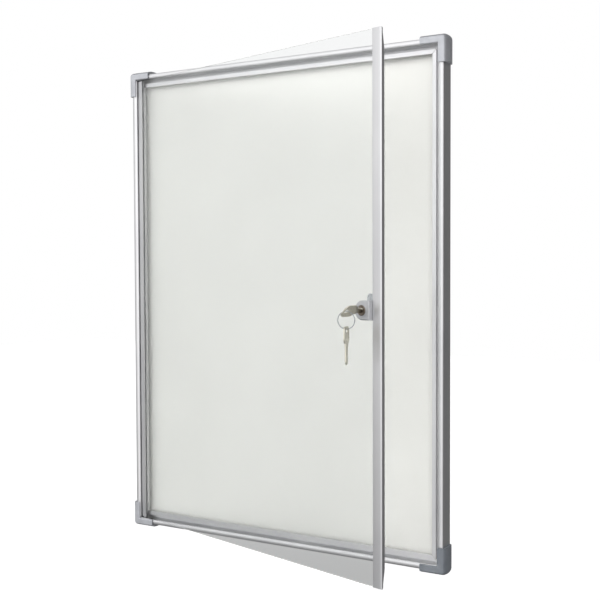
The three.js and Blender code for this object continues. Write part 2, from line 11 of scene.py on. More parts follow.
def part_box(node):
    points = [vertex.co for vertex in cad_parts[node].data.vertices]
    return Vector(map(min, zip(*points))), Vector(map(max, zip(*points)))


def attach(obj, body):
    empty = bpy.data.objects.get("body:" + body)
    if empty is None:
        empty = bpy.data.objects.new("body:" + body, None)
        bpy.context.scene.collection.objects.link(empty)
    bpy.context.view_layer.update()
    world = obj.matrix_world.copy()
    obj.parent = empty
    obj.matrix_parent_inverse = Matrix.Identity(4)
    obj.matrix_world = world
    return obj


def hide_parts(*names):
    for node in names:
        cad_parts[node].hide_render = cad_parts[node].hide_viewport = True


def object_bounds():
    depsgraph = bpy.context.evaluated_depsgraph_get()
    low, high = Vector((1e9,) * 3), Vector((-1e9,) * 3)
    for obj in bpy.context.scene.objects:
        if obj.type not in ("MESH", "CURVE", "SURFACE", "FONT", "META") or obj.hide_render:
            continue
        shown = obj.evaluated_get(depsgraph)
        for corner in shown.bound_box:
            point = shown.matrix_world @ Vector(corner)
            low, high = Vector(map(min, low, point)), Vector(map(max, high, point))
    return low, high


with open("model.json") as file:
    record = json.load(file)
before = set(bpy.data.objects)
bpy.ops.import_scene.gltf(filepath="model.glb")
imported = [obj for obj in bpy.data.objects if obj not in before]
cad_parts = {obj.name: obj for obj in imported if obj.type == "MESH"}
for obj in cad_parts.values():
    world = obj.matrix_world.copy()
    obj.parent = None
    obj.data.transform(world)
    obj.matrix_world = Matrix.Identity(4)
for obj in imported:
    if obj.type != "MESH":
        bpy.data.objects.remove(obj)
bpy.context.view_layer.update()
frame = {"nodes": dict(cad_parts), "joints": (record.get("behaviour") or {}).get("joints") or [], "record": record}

MM = 0.001
WELD = 1e-6

# Angles in degrees: faces that lie flat together, and edges that count as sharp
FLAT_ANGLE = 0.5
SHARP_ANGLE = 30
MODELLED_SHARP_ANGLE = 40
WIRE_SHARP_ANGLE = 50
# A face looks along an axis when its normal's share of it is above this
FACING = 0.99

# Camera, fitted to the case's corners in the photograph
CAMERA_PLACE = (0.7535, -1.2177, 0.0575)
CAMERA_YAW = 30.81
CAMERA_PITCH = -2.128
CAMERA_ROLL = -0.226
SENSOR = 36.0
IMAGE_SIDE = 600
FOCAL_PIXELS = 996.8

# Stage
FLOOR_DROP = 420 * MM
FLOOR_SIDE = 14.0
FLOOR_GLOW = 0.55

# Light levels, where 1 is white: what metal mirrors, what dull surfaces get, what the pane shows
ROOM_BACK = 0.2
ROOM_FRONT = 1.4
ROOM_LOW_SHARE = 0.25
ROOM_HIGH_SHARE = 0.9
ROOM_LEAST = 0.15
WINDOW = 0.55
SOFT_SIDE_SHARE = 0.07
SOFT_LOW = 1.16
SOFT_HIGH = 3.62
REAR_FILL = 2.4
PANE_GAIN = 1.5
BACKDROP_LOW = 0.5
BACKDROP_HIGH = 0.95

# Die lines run along a bar, so their pattern changes only this fast that way
DIE_LINE_SHARE = 0.004

# How far the edges of the given pieces are eased
EXTRUDED_EDGE = 0.25 * MM
MOULDED_EDGE = 0.2 * MM
ENAMELLED_EDGE = 0.2 * MM
PANE_EDGE = 0.25 * MM
TURNED_EDGE = 0.15 * MM
NUT_EDGE = 0.3 * MM
CAM_EDGE = 0.25 * MM

# Lock, along the lock's own y axis, where the front is negative
PANE_HALF = 1.5 * MM
SEAT_GAP = 0.3 * MM
HOUSING_RADIUS = 12 * MM
HOUSING_THICKNESS = 7 * MM
HOUSING_REACH = 12.3 * MM
HOUSING_SOFTENING = 1.8 * MM
HOUSING_EDGE = 0.15 * MM
HOUSING_BACK = -PANE_HALF - SEAT_GAP
HOUSING_FRONT = HOUSING_BACK - HOUSING_THICKNESS
COLLAR_RADIUS = 8.2 * MM
COLLAR_DEPTH = 0.5 * MM
BARREL_SEAT_RADIUS = 8.3 * MM
BARREL_SEAT_DEPTH = 3.8 * MM
PLUG_RADIUS = 6.4 * MM
PLUG_BORE = 6.6 * MM
PLUG_PROUD = 1 * MM
PLUG_FRONT = HOUSING_FRONT - PLUG_PROUD
PLUG_BACK = 8.1 * MM
PLUG_SOFTENING = 0.7 * MM
PLUG_RIM = 0.5 * MM
PLUG_STEP = 0.25 * MM
PLUG_EDGE = 0.1 * MM
TAIL_SIDE = 6.6 * MM
TAIL_BACK = 10 * MM
TAIL_OVERLAP = 1.8 * MM
KEYWAY_WIDTH = 2.4 * MM
KEYWAY_HEIGHT = 8.6 * MM
KEYWAY_DEPTH = 15.3 * MM
KEY_ROLL = 45

# Keys, in their own frame: the blade along +x, the bow along -x, thin in y
KEY_THICKNESS = 1.6 * MM
BLADE_HEIGHT = 7.6 * MM
BLADE_LENGTH = 22 * MM
BLADE_INSIDE = 15 * MM
BLADE_TIP = 3 * MM
TIP_SHARE = 0.2
NOTCH_PITCH = 3 * MM
FIRST_NOTCH_SHARE = 1.5
NOTCH_DEPTHS = [0.96 * MM, 1.6 * MM, 0.64 * MM, 1.28 * MM]
GROOVE_RADIUS = 0.9 * MM
GROOVE_DEPTH = 0.35 * MM
GROOVE_HEIGHT = 0.9 * MM
SHOULDER_HEIGHT = 10 * MM
SHOULDER_LENGTH = 3 * MM
BOW_WIDTH = 18.5 * MM
BOW_LENGTH = 21 * MM
BOW_CORNER = 6 * MM
BOW_RIM = 1.6 * MM
BOW_RECESS = 0.25 * MM
BOW_HOLE_RADIUS = 3 * MM
BOW_HOLE_INSET = 5.2 * MM
KEY_EDGE = 0.15 * MM

# Split ring: two turns of wire, side by side, that change sides between the wire's two ends
RING_RADIUS = 10.6 * MM
RING_WIRE = 0.4 * MM
RING_TURNS = 2
RING_STEPS = 72
RING_CROSSING = 20


# Helpers for modelling by hand


def select_only(piece):
    bpy.ops.object.select_all(action="DESELECT")
    piece.select_set(True)
    bpy.context.view_layer.objects.active = piece


def pick(piece, kind, test):
    """Enters edit mode with only the faces or edges selected that pass the test."""
    select_only(piece)
    bpy.ops.object.mode_set(mode="EDIT")
    bpy.ops.mesh.select_mode(type=kind)
    bpy.ops.mesh.select_all(action="DESELECT")
    bpy.ops.object.mode_set(mode="OBJECT")
    items = piece.data.polygons if kind == "FACE" else piece.data.edges
    for item in items:
        item.select = test(item)
    bpy.ops.object.mode_set(mode="EDIT")


def leave():
    bpy.ops.object.mode_set(mode="OBJECT")


def apply_place(piece):
    select_only(piece)
    bpy.ops.object.transform_apply(location=True, rotation=True, scale=True)


def move_to(piece, matrix):
    piece.matrix_world = matrix @ piece.matrix_world
    apply_place(piece)


def modify(piece, kind, **settings):
    modifier = piece.modifiers.new(kind.title(), kind)
    for name, value in settings.items():
        setattr(modifier, name, value)
    select_only(piece)
    bpy.ops.object.modifier_apply(modifier=modifier.name)


def combine(piece, other, operation):
    modify(piece, "BOOLEAN", operation=operation, object=other, solver="EXACT")
    bpy.data.objects.remove(other)


def soften(piece, width, segments, angle=SHARP_ANGLE):
    modify(
        piece,
        "BEVEL",
        width=width,
        segments=segments,
        limit_method="ANGLE",
        angle_limit=math.radians(angle),
    )


def smooth(piece, angle=SHARP_ANGLE):
    """Smooths what bends less than the angle, and keeps the broad faces flat."""
    select_only(piece)
    bpy.ops.object.shade_smooth_by_angle(angle=math.radians(angle))
    modify(piece, "WEIGHTED_NORMAL", keep_sharp=True, weight=100)


def block(name, low, high):
    """A box between two corners."""
    low, high = Vector(low), Vector(high)
    bpy.ops.object.select_all(action="DESELECT")
    bpy.ops.mesh.primitive_cube_add(size=1, location=(low + high) / 2, scale=high - low)
    piece = bpy.context.object
    piece.name = name
    apply_place(piece)
    return piece


def rod(name, radius, y0, y1, vertices=64, x=0, z=0):
    """A cylinder along y between two levels."""
    bpy.ops.object.select_all(action="DESELECT")
    bpy.ops.mesh.primitive_cylinder_add(
        vertices=vertices,
        radius=radius,
        depth=y1 - y0,
        location=(x, (y0 + y1) / 2, z),
        rotation=(math.pi / 2, 0, 0),
    )
    piece = bpy.context.object
    piece.name = name
    apply_place(piece)
    return piece


# What the record says of each node, and the joints by name
body_of = {}
for body, members in frame["record"]["behaviour"]["bodies"].items():
    for member in members:
        body_of[member] = body
joint_of = {joint["name"]: joint for joint in frame["joints"]}


def paint(piece, material):
    piece.data.materials.clear()
    piece.data.materials.append(material)


def stand_for(piece, node):
    """The piece takes a node's place and its body, and the node is hidden."""
    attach(piece, body_of[node])
    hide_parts(node)


def finished_copy(node, material, edge):
    """A given piece with its edges eased, as a die or a mould leaves them."""
    piece = bpy.data.objects.new(node + "_finished", frame["nodes"][node].data.copy())
    bpy.context.scene.collection.objects.link(piece)
    paint(piece, material)
    pick(piece, "FACE", lambda face: True)
    bpy.ops.mesh.remove_doubles(threshold=WELD)
    bpy.ops.mesh.dissolve_limited(angle_limit=math.radians(FLAT_ANGLE))
    leave()
    soften(piece, edge, 2)
    smooth(piece)
    stand_for(piece, node)


# Materials


def linear(colour):
    """An sRGB hex value as linear red, green, blue and alpha."""
    channels = [int(colour[i : i + 2], 16) / 255 for i in (1, 3, 5)]
    low = [c / 12.92 if c <= 0.04045 else ((c + 0.055) / 1.055) ** 2.4 for c in channels]
    return (*low, 1.0)


def add(tree, kind, inputs, **settings):
    """Adds a node with its settings. Each input is a plain value or another node's output."""
    made = tree.nodes.new(kind)
    for name, value in settings.items():
        setattr(made, name, value)
    for name, value in inputs.items():
        if isinstance(value, bpy.types.NodeSocket):
            tree.links.new(value, made.inputs[name])
        else:
            made.inputs[name].default_value = value
    return made


def new_material(name):
    """A material with an empty node tree, and the place on the piece in metres."""
    material = bpy.data.materials.new(name)
    material.use_nodes = True
    tree = material.node_tree
    tree.nodes.clear()
    place = add(tree, "ShaderNodeTexCoord", {}).outputs["Object"]
    return material, tree, place


def anodised_aluminium(name, stretch):
    """Extruded, etched and anodised: a satin metal with die lines along the bar.
    Real lines are 0.1 to 0.3 mm apart and are drawn at 1 mm so that they show."""
    material, tree, place = new_material(name)
    along = add(tree, "ShaderNodeMapping", {"Vector": place, "Scale": stretch})
    lines = add(
        tree,
        "ShaderNodeTexNoise",
        {"Vector": along.outputs[0], "Scale": 1 / (1.0 * MM), "Detail": 3.0},
    )
    clouds = add(tree, "ShaderNodeTexNoise", {"Vector": place, "Scale": 1 / (70 * MM)})
    cloudy = add(
        tree, "ShaderNodeMapRange", {"Value": clouds.outputs[0], "From Min": 0.3, "From Max": 0.7}
    )
    colour = add(
        tree,
        "ShaderNodeMix",
        {0: cloudy.outputs[0], 6: linear("#dadadc"), 7: linear("#e2e2e3")},
        data_type="RGBA",
    )
    sheen = add(
        tree,
        "ShaderNodeMapRange",
        {"Value": lines.outputs[0], "From Min": 0.3, "From Max": 0.7, "To Min": 0.32, "To Max": 0.42},
    )
    relief = add(
        tree,
        "ShaderNodeBump",
        {"Height": lines.outputs[0], "Distance": 0.015 * MM, "Strength": 0.5},
    )
    surface = add(
        tree,
        "ShaderNodeBsdfPrincipled",
        {
            "Base Color": colour.outputs[2],
            "Metallic": 1.0,
            "Roughness": sheen.outputs[0],
            "Normal": relief.outputs[0],
        },
    )
    add(tree, "ShaderNodeOutputMaterial", {"Surface": surface.outputs[0]})
    return material


def moulded_cap_plastic(name, dark, light, flake):
    """Injection-moulded ABS, silvery by its share of metal flake, with a fine spark texture
    of about 0.4 mm, drawn at 0.8 mm."""
    material, tree, place = new_material(name)
    spark = add(
        tree, "ShaderNodeTexNoise", {"Vector": place, "Scale": 1 / (0.8 * MM), "Detail": 1.0}
    )
    clouds = add(tree, "ShaderNodeTexNoise", {"Vector": place, "Scale": 1 / (12 * MM)})
    cloudy = add(
        tree, "ShaderNodeMapRange", {"Value": clouds.outputs[0], "From Min": 0.3, "From Max": 0.7}
    )
    colour = add(
        tree,
        "ShaderNodeMix",
        {0: cloudy.outputs[0], 6: linear(dark), 7: linear(light)},
        data_type="RGBA",
    )
    sheen = add(
        tree,
        "ShaderNodeMapRange",
        {"Value": spark.outputs[0], "From Min": 0.3, "From Max": 0.7, "To Min": 0.36, "To Max": 0.46},
    )
    relief = add(
        tree,
        "ShaderNodeBump",
        {"Height": spark.outputs[0], "Distance": 0.02 * MM, "Strength": 0.4},
    )
    surface = add(
        tree,
        "ShaderNodeBsdfPrincipled",
        {
            "Base Color": colour.outputs[2],
            "Metallic": flake,
            "IOR": 1.5,
            "Roughness": sheen.outputs[0],
            "Normal": relief.outputs[0],
        },
    )
    add(tree, "ShaderNodeOutputMaterial", {"Surface": surface.outputs[0]})
    return material


def moulded_nylon():
    """Glass-filled nylon: black, dull and slightly mottled, with a grain of 0.6 mm."""
    material, tree, place = new_material("moulded_black_nylon")
    mottle = add(tree, "ShaderNodeTexNoise", {"Vector": place, "Scale": 1 / (0.6 * MM)})
    mottled = add(
        tree, "ShaderNodeMapRange", {"Value": mottle.outputs[0], "From Min": 0.3, "From Max": 0.7}
    )
    colour = add(
        tree,
        "ShaderNodeMix",
        {0: mottled.outputs[0], 6: linear("#26272a"), 7: linear("#333437")},
        data_type="RGBA",
    )
    sheen = add(
        tree,
        "ShaderNodeMapRange",
        {"Value": mottle.outputs[0], "From Min": 0.3, "From Max": 0.7, "To Min": 0.5, "To Max": 0.65},
    )
    surface = add(
        tree,
        "ShaderNodeBsdfPrincipled",
        {"Base Color": colour.outputs[2], "IOR": 1.53, "Roughness": sheen.outputs[0]},
    )
    add(tree, "ShaderNodeOutputMaterial", {"Surface": surface.outputs[0]})
    return material


def white_enamel():
    """Enamelled steel sheet: a hard white glaze with an orange peel about 3 mm across."""
    material, tree, place = new_material("white_enamelled_steel")
    peel = add(tree, "ShaderNodeTexNoise", {"Vector": place, "Scale": 1 / (3 * MM)})
    clouds = add(tree, "ShaderNodeTexNoise", {"Vector": place, "Scale": 1 / (120 * MM)})
    cloudy = add(
        tree, "ShaderNodeMapRange", {"Value": clouds.outputs[0], "From Min": 0.3, "From Max": 0.7}
    )
    colour = add(
        tree,
        "ShaderNodeMix",
        {0: cloudy.outputs[0], 6: linear("#efefea"), 7: linear("#f3f3ee")},
        data_type="RGBA",
    )
    sheen = add(
        tree,
        "ShaderNodeMapRange",
        {"Value": peel.outputs[0], "From Min": 0.3, "From Max": 0.7, "To Min": 0.3, "To Max": 0.38},
    )
    relief = add(
        tree,
        "ShaderNodeBump",
        {"Height": peel.outputs[0], "Distance": 0.01 * MM, "Strength": 0.3},
    )
    surface = add(
        tree,
        "ShaderNodeBsdfPrincipled",
        {
            "Base Color": colour.outputs[2],
            "IOR": 1.52,
            "Roughness": sheen.outputs[0],
            "Normal": relief.outputs[0],
            "Coat Weight": 0.2,
            "Coat Roughness": 0.12,
        },
    )
    add(tree, "ShaderNodeOutputMaterial", {"Surface": surface.outputs[0]})
    return material


def pressed_fibreboard():
    """Hardboard: pressed brown wood fibres 1 to 3 mm long, lying every way."""
    material, tree, place = new_material("pressed_hardboard")
    flattened = add(tree, "ShaderNodeMapping", {"Vector": place, "Scale": (1, 1, 0.35)})
    fibres = add(
        tree,
        "ShaderNodeTexNoise",
        {"Vector": flattened.outputs[0], "Scale": 1 / (2.2 * MM), "Detail": 5.0},
    )
    clouds = add(tree, "ShaderNodeTexNoise", {"Vector": place, "Scale": 1 / (45 * MM)})
    summed = add(
        tree, "ShaderNodeMath", {0: fibres.outputs[0], 1: clouds.outputs[0]}, operation="ADD"
    )
    fibrous = add(
        tree, "ShaderNodeMapRange", {"Value": summed.outputs[0], "From Min": 0.6, "From Max": 1.4}
    )
    colour = add(
        tree,
        "ShaderNodeMix",
        {0: fibrous.outputs[0], 6: linear("#6f5a44"), 7: linear("#9a8468")},
        data_type="RGBA",
    )
    sheen = add(
        tree,
        "ShaderNodeMapRange",
        {"Value": fibres.outputs[0], "From Min": 0.3, "From Max": 0.7, "To Min": 0.6, "To Max": 0.8},
    )
    relief = add(
        tree,
        "ShaderNodeBump",
        {"Height": fibres.outputs[0], "Distance": 0.15 * MM, "Strength": 0.5},
    )
    surface = add(
        tree,
        "ShaderNodeBsdfPrincipled",
        {
            "Base Color": colour.outputs[2],
            "IOR": 1.45,
            "Roughness": sheen.outputs[0],
            "Normal": relief.outputs[0],
        },
    )
    add(tree, "ShaderNodeOutputMaterial", {"Surface": surface.outputs[0]})
    return material


def clear_sheet():
    """Cast acrylic: clear and polished, with faint wiping marks some centimetres long."""
    material, tree, place = new_material("clear_cast_acrylic")
    wiped = add(tree, "ShaderNodeMapping", {"Vector": place, "Scale": (0.4, 1, 1)})
    marks = add(
        tree,
        "ShaderNodeTexNoise",
        {"Vector": wiped.outputs[0], "Scale": 1 / (30 * MM), "Detail": 4.0},
    )
    sheen = add(
        tree,
        "ShaderNodeMapRange",
        {"Value": marks.outputs[0], "From Min": 0.3, "From Max": 0.7, "To Min": 0.0, "To Max": 0.02},
    )
    surface = add(
        tree,
        "ShaderNodeBsdfPrincipled",
        {
            "Base Color": linear("#fbfcfc"),
            "Transmission Weight": 1.0,
            "IOR": 1.49,
            "Roughness": sheen.outputs[0],
        },
    )
    add(tree, "ShaderNodeOutputMaterial", {"Surface": surface.outputs[0]})
    return material


def plated_steel(name, dark, light):
    """Zinc-plated steel: bright with a bluish cast and fine brushing of about 0.5 mm."""
    material, tree, place = new_material(name)
    along = add(tree, "ShaderNodeMapping", {"Vector": place, "Scale": (1, 1, 0.1)})
    brushing = add(
        tree,
        "ShaderNodeTexNoise",
        {"Vector": along.outputs[0], "Scale": 1 / (0.5 * MM), "Detail": 3.0},
    )
    brushed = add(
        tree, "ShaderNodeMapRange", {"Value": brushing.outputs[0], "From Min": 0.3, "From Max": 0.7}
    )
    colour = add(
        tree,
        "ShaderNodeMix",
        {0: brushed.outputs[0], 6: linear(dark), 7: linear(light)},
        data_type="RGBA",
    )
    sheen = add(
        tree,
        "ShaderNodeMapRange",
        {
            "Value": brushing.outputs[0],
            "From Min": 0.3,
            "From Max": 0.7,
            "To Min": 0.22,
            "To Max": 0.36,
        },
    )
    relief = add(
        tree,
        "ShaderNodeBump",
        {"Height": brushing.outputs[0], "Distance": 0.01 * MM, "Strength": 0.4},
    )
    surface = add(
        tree,
        "ShaderNodeBsdfPrincipled",
        {
            "Base Color": colour.outputs[2],
            "Metallic": 1.0,
            "Roughness": sheen.outputs[0],
            "Normal": relief.outputs[0],
        },
    )
    add(tree, "ShaderNodeOutputMaterial", {"Surface": surface.outputs[0]})
    return material


def satin_die_casting():
    """Zinc die casting with a satin lacquer: smooth, pale grey, faintly clouded."""
    material, tree, place = new_material("satin_grey_die_casting")
    clouds = add(tree, "ShaderNodeTexNoise", {"Vector": place, "Scale": 1 / (5 * MM)})
    cloudy = add(
        tree, "ShaderNodeMapRange", {"Value": clouds.outputs[0], "From Min": 0.3, "From Max": 0.7}
    )
    colour = add(
        tree,
        "ShaderNodeMix",
        {0: cloudy.outputs[0], 6: linear("#bfc0c3"), 7: linear("#cacbcd")},
        data_type="RGBA",
    )
    sheen = add(
        tree,
        "ShaderNodeMapRange",
        {
            "Value": clouds.outputs[0],
            "From Min": 0.3,
            "From Max": 0.7,
            "To Min": 0.34,
            "To Max": 0.44,
        },
    )
    surface = add(
        tree,
        "ShaderNodeBsdfPrincipled",
        {"Base Color": colour.outputs[2], "Metallic": 0.6, "Roughness": sheen.outputs[0]},
    )
    add(tree, "ShaderNodeOutputMaterial", {"Surface": surface.outputs[0]})
    return material


def nickel_plate(name, dark, light, smoothest, roughest):
    """Nickel-plated brass: warm grey metal with scratches from use about 0.4 mm apart."""
    material, tree, place = new_material(name)
    along = add(tree, "ShaderNodeMapping", {"Vector": place, "Scale": (1, 0.15, 0.4)})
    scratches = add(
        tree,
        "ShaderNodeTexNoise",
        {"Vector": along.outputs[0], "Scale": 1 / (0.4 * MM), "Detail": 4.0},
    )
    wear = add(tree, "ShaderNodeTexNoise", {"Vector": place, "Scale": 1 / (4 * MM)})
    worn = add(
        tree, "ShaderNodeMapRange", {"Value": wear.outputs[0], "From Min": 0.3, "From Max": 0.7}
    )
    colour = add(
        tree,
        "ShaderNodeMix",
        {0: worn.outputs[0], 6: linear(dark), 7: linear(light)},
        data_type="RGBA",
    )
    sheen = add(
        tree,
        "ShaderNodeMapRange",
        {
            "Value": scratches.outputs[0],
            "From Min": 0.3,
            "From Max": 0.7,
            "To Min": smoothest,
            "To Max": roughest,
        },
    )
    relief = add(
        tree,
        "ShaderNodeBump",
        {"Height": scratches.outputs[0], "Distance": 0.01 * MM, "Strength": 0.5},
    )
    surface = add(
        tree,
        "ShaderNodeBsdfPrincipled",
        {
            "Base Color": colour.outputs[2],
            "Metallic": 1.0,
            "Roughness": sheen.outputs[0],
            "Normal": relief.outputs[0],
        },
    )
    add(tree, "ShaderNodeOutputMaterial", {"Surface": surface.outputs[0]})
    return material


upright_aluminium = anodised_aluminium("anodised_aluminium_upright", (1, 1, DIE_LINE_SHARE))
level_aluminium = anodised_aluminium("anodised_aluminium_level", (DIE_LINE_SHARE, 1, 1))
cap_plastic = moulded_cap_plastic("moulded_silver_grey_abs", "#b9bbc0", "#c5c7cc", 0.6)
# The same cap plastic made darker and less flaky: painted shade for the lower right cap, which lies in shadow
shaded_cap_plastic = moulded_cap_plastic("moulded_silver_grey_abs_painted_shade", "#7d8289", "#898e95", 0.15)
nylon = moulded_nylon()
enamel = white_enamel()
fibreboard = pressed_fibreboard()
acrylic = clear_sheet()
zinc_plate = plated_steel("zinc_plated_steel", "#c6cace", "#d6d9dc")
ring_plate = plated_steel("zinc_plated_ring_wire", "#9da1a6", "#b0b3b7")
die_casting = satin_die_casting()
key_nickel = nickel_plate("nickel_plated_key_brass", "#cbc7b8", "#d9d5c8", 0.24, 0.38)
# A darker copy of the key's nickel plating: painted shade for the dark reflection in the plug's face
shaded_plug_nickel = nickel_plate("nickel_plated_plug_painted_shade", "#7a7065", "#8f857a", 0.25, 0.4)


# Case


def finish_case():
    for node in ("rail_left", "rail_right"):
        finished_copy(node, upright_aluminium, EXTRUDED_EDGE)
    for node in ("rail_top", "rail_bottom"):
        finished_copy(node, level_aluminium, EXTRUDED_EDGE)
    for row in ("top", "bottom"):
        for side in ("left", "right"):
            # The lower right cap gets the darker copy of the cap plastic: painted shade
            lower_right = row == "bottom" and side == "right"
            plastic = shaded_cap_plastic if lower_right else cap_plastic
            finished_copy(f"corner_cap_{row}_{side}", plastic, MOULDED_EDGE)
            paint(frame["nodes"][f"corner_connector_{row}_{side}"], nylon)
        paint(frame["nodes"][f"hinge_bush_{row}"], nylon)
    finished_copy("display_sheet", enamel, ENAMELLED_EDGE)
    paint(frame["nodes"]["core_board"], fibreboard)


# Door


def finish_door():
    finished_copy("hinge_stile", upright_aluminium, EXTRUDED_EDGE)
    finished_copy("lock_stile", upright_aluminium, EXTRUDED_EDGE)
    finished_copy("door_pane", acrylic, PANE_EDGE)
    for row in ("top", "bottom"):
        paint(frame["nodes"][f"hinge_pin_{row}"], zinc_plate)


# Lock


def frame_at(place, forward):
    """The frame whose y axis is a level direction and whose z axis is up."""
    y = Vector(forward).normalized()
    z = Vector((0, 0, 1))
    x = y.cross(z)
    turned = Matrix((x, y, z)).transposed().to_4x4()
    return Matrix.Translation(Vector(place)) @ turned


lock_place = frame_at(joint_of["lock_turn"]["pos_m"], joint_of["lock_turn"]["axis"])
key_roll = Matrix.Rotation(math.radians(KEY_ROLL), 4, "Y")
blade_forward = Matrix.Rotation(math.pi / 2, 4, "Z")


def make_housing():
    """A die casting, round on the left and square where it meets the stile."""
    piece = rod("lock_housing_casting", HOUSING_RADIUS, HOUSING_FRONT, HOUSING_BACK)
    pick(piece, "FACE", lambda face: True)
    bpy.ops.mesh.bisect(plane_co=(0, 0, 0), plane_no=(1, 0, 0), clear_outer=True, use_fill=True)
    leave()
    pick(piece, "FACE", lambda face: face.normal.x > FACING)
    bpy.ops.mesh.extrude_region_move(TRANSFORM_OT_translate={"value": (HOUSING_REACH, 0, 0)})
    bpy.ops.mesh.select_all(action="SELECT")
    bpy.ops.mesh.dissolve_limited(angle_limit=math.radians(FLAT_ANGLE))
    leave()
    points = piece.data.vertices
    pick(
        piece,
        "EDGE",
        lambda edge: all(abs(points[i].co.y - HOUSING_FRONT) < WELD for i in edge.vertices),
    )
    bpy.ops.mesh.bevel(offset=HOUSING_SOFTENING, segments=6)
    leave()
    collar = rod("collar", COLLAR_RADIUS, HOUSING_FRONT - COLLAR_DEPTH, HOUSING_FRONT + COLLAR_DEPTH)
    combine(piece, collar, "UNION")
    bore = rod("bore", PLUG_BORE, HOUSING_FRONT - HOUSING_THICKNESS, 0)
    combine(piece, bore, "DIFFERENCE")
    seat = rod("seat", BARREL_SEAT_RADIUS, HOUSING_BACK - BARREL_SEAT_DEPTH, 0)
    combine(piece, seat, "DIFFERENCE")
    soften(piece, HOUSING_EDGE, 2, MODELLED_SHARP_ANGLE)
    smooth(piece, MODELLED_SHARP_ANGLE)
    paint(piece, die_casting)
    move_to(piece, lock_place)
    stand_for(piece, "lock_housing")


def make_plug():
    """A turned plug with a stepped face, a keyway through it and a square tail for the cam."""
    piece = rod("lock_plug_turned", PLUG_RADIUS, PLUG_FRONT, PLUG_BACK)
    pick(piece, "FACE", lambda face: face.normal.y < -FACING)
    bpy.ops.mesh.bevel(offset=PLUG_SOFTENING, segments=3)
    leave()
    pick(piece, "FACE", lambda face: face.normal.y < -FACING)
    bpy.ops.mesh.inset(thickness=PLUG_RIM, depth=0)
    bpy.ops.mesh.inset(thickness=PLUG_STEP, depth=-PLUG_STEP)
    leave()
    half = TAIL_SIDE / 2
    tail = block("tail", (-half, PLUG_BACK - TAIL_OVERLAP, -half), (half, TAIL_BACK, half))
    move_to(tail, Matrix.Rotation(math.radians(-KEY_ROLL), 4, "Y"))
    combine(piece, tail, "UNION")
    keyway = block(
        "keyway",
        (-KEYWAY_WIDTH / 2, PLUG_FRONT - PLUG_PROUD, -KEYWAY_HEIGHT / 2),
        (KEYWAY_WIDTH / 2, PLUG_FRONT + KEYWAY_DEPTH, KEYWAY_HEIGHT / 2),
    )
    combine(piece, keyway, "DIFFERENCE")
    soften(piece, PLUG_EDGE, 2, MODELLED_SHARP_ANGLE)
    smooth(piece, MODELLED_SHARP_ANGLE)
    # Painted shade: the plug wears the darkened copy of the key's nickel
    paint(piece, shaded_plug_nickel)
    move_to(piece, lock_place @ key_roll)
    stand_for(piece, "lock_plug")


def finish_lock():
    make_housing()
    make_plug()
    finished_copy("lock_barrel", zinc_plate, TURNED_EDGE)
    finished_copy("lock_nut", zinc_plate, NUT_EDGE)
    finished_copy("cam_screw", zinc_plate, TURNED_EDGE)
    finished_copy("lock_cam", zinc_plate, CAM_EDGE)


# Keys


def make_bow():
    """The key's grip: rounded corners and a stamped recess inside a rim, on both faces."""
    half = KEY_THICKNESS / 2
    far = -SHOULDER_LENGTH - BOW_LENGTH
    piece = block("bow", (far, -half, -BOW_WIDTH / 2), (-SHOULDER_LENGTH, half, BOW_WIDTH / 2))
    points = piece.data.vertices
    pick(
        piece,
        "EDGE",
        lambda edge: abs(points[edge.vertices[0]].co.y - points[edge.vertices[1]].co.y) > half,
    )
    bpy.ops.mesh.bevel(offset=BOW_CORNER, segments=10)
    leave()
    pick(piece, "FACE", lambda face: abs(face.normal.y) > FACING)
    bpy.ops.mesh.inset(thickness=BOW_RIM, depth=0)
    bpy.ops.mesh.inset(thickness=BOW_RECESS, depth=-BOW_RECESS)
    leave()
    return piece


def make_blade():
    """The key's blade: a tapered tip, notches along its upper edge and a groove in each face."""
    half = KEY_THICKNESS / 2
    side = BLADE_HEIGHT / 2
    piece = block("blade", (-SHOULDER_LENGTH, -half, -side), (BLADE_LENGTH - BLADE_TIP, half, side))
    pick(piece, "FACE", lambda face: face.normal.x > FACING)
    bpy.ops.mesh.extrude_region_move(TRANSFORM_OT_translate={"value": (BLADE_TIP, 0, 0)})
    bpy.ops.transform.resize(value=(1, 1, TIP_SHARE))
    leave()
    for i, depth in enumerate(NOTCH_DEPTHS):
        place = (i + FIRST_NOTCH_SHARE) * NOTCH_PITCH
        notch = block("notch", (-depth, -NOTCH_PITCH, -depth), (depth, NOTCH_PITCH, depth))
        tilt = Matrix.Rotation(math.pi / 4, 4, "Y") @ Matrix.Scale(math.sqrt(0.5), 4)
        move_to(notch, Matrix.Translation((place, 0, side)) @ tilt)
        combine(piece, notch, "DIFFERENCE")
    groove_reach = half + GROOVE_RADIUS - GROOVE_DEPTH
    for way in (-1, 1):
        bpy.ops.object.select_all(action="DESELECT")
        bpy.ops.mesh.primitive_cylinder_add(
            vertices=24,
            radius=GROOVE_RADIUS,
            depth=2 * BLADE_LENGTH,
            location=(BLADE_LENGTH, way * groove_reach, -way * GROOVE_HEIGHT),
            rotation=(0, math.pi / 2, 0),
        )
        groove = bpy.context.object
        apply_place(groove)
        combine(piece, groove, "DIFFERENCE")
    return piece


def make_key(name, node, matrix):
    """A whole key, set in place by the matrix."""
    half = KEY_THICKNESS / 2
    piece = make_bow()
    shoulder = block(
        "shoulder",
        (-2 * SHOULDER_LENGTH, -half, -SHOULDER_HEIGHT / 2),
        (0, half, SHOULDER_HEIGHT / 2),
    )
    combine(piece, shoulder, "UNION")
    combine(piece, make_blade(), "UNION")
    hole_place = -SHOULDER_LENGTH - BOW_LENGTH + BOW_HOLE_INSET
    hole = rod("hole", BOW_HOLE_RADIUS, -KEY_THICKNESS, KEY_THICKNESS, 40, hole_place)
    combine(piece, hole, "DIFFERENCE")
    soften(piece, KEY_EDGE, 2, MODELLED_SHARP_ANGLE)
    smooth(piece, MODELLED_SHARP_ANGLE)
    piece.name = name
    paint(piece, key_nickel)
    move_to(piece, matrix)
    stand_for(piece, node)


